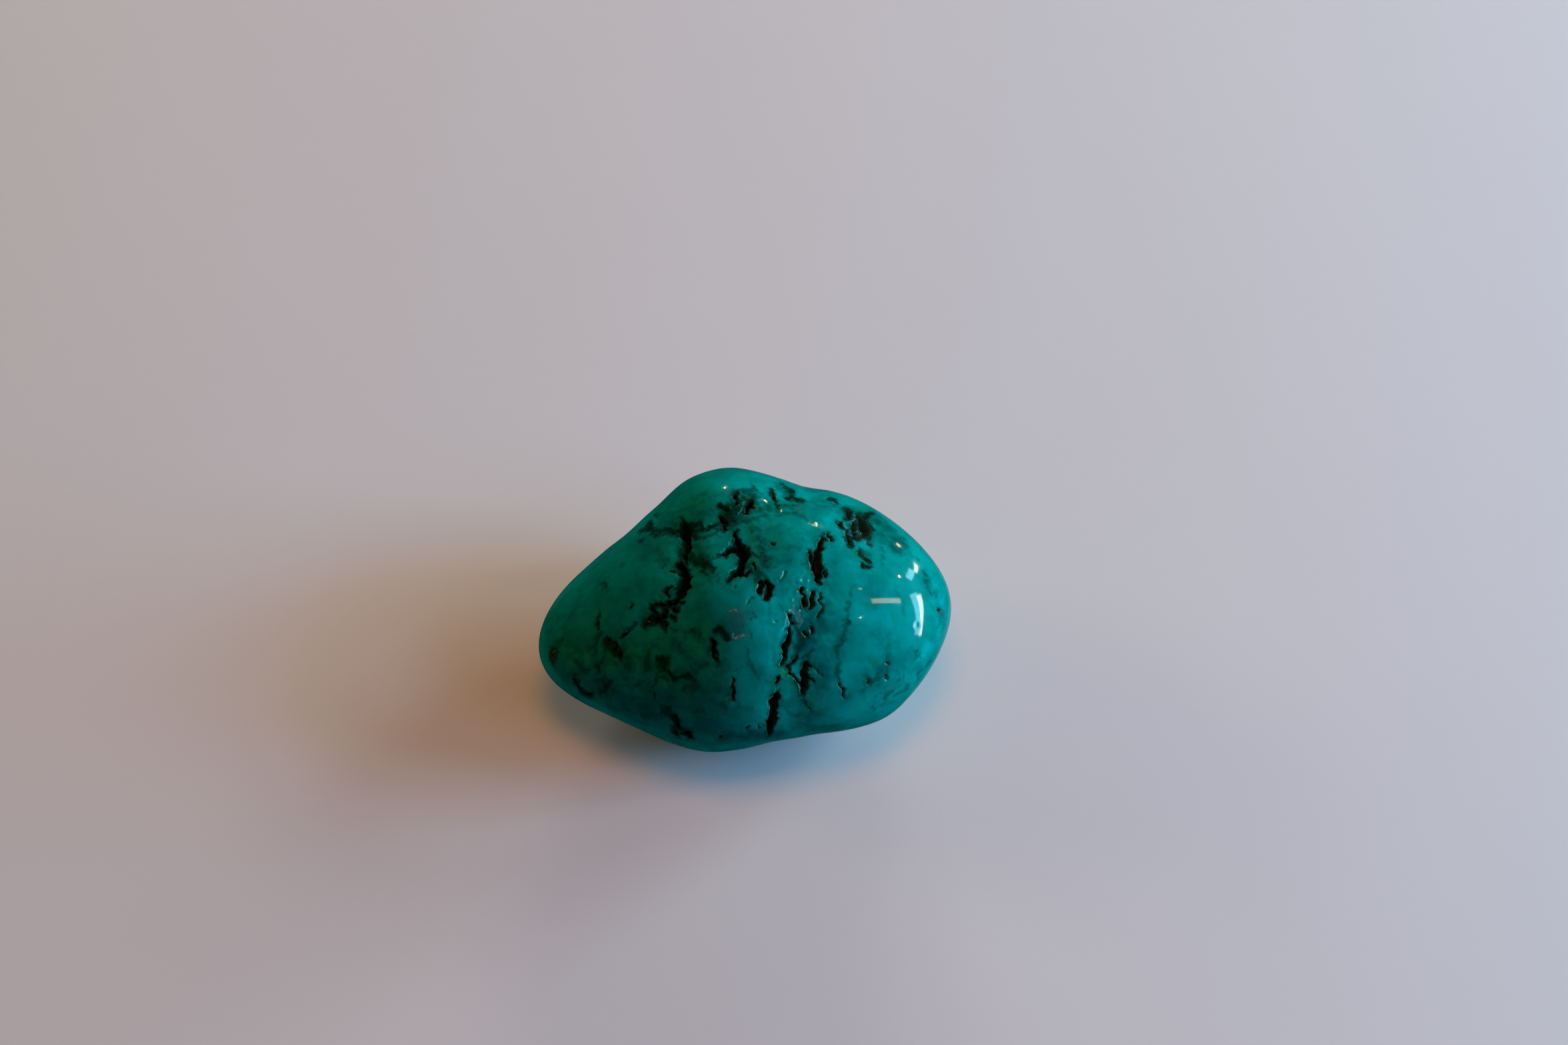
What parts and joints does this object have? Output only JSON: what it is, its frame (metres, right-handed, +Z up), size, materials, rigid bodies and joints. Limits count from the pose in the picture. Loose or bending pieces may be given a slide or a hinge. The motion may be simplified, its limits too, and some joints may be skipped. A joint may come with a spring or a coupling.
{
  "type": "turquoise nugget",
  "caption": "Tumbled, polished turquoise nugget, broad and egg-like with a blunt narrow end, dark matrix crevices and pits, resting on a worn flat.",
  "frame": {"origin": "on the resting flat's plane, under the middle of the stone's box", "axes": "+X along the stone's long way towards its broad end, +Y towards its back, +Z up"},
  "size_m": [0.081, 0.0568, 0.0424],
  "materials": {
    "turquoise": "tumbled and polished blue-green stone, greener and darker in clouds, with dull brown-black matrix in its cracks and pits"
  },
  "bodies": {
    "root": {"turquoise_nugget": "turquoise"}
  },
  "joints": []
}
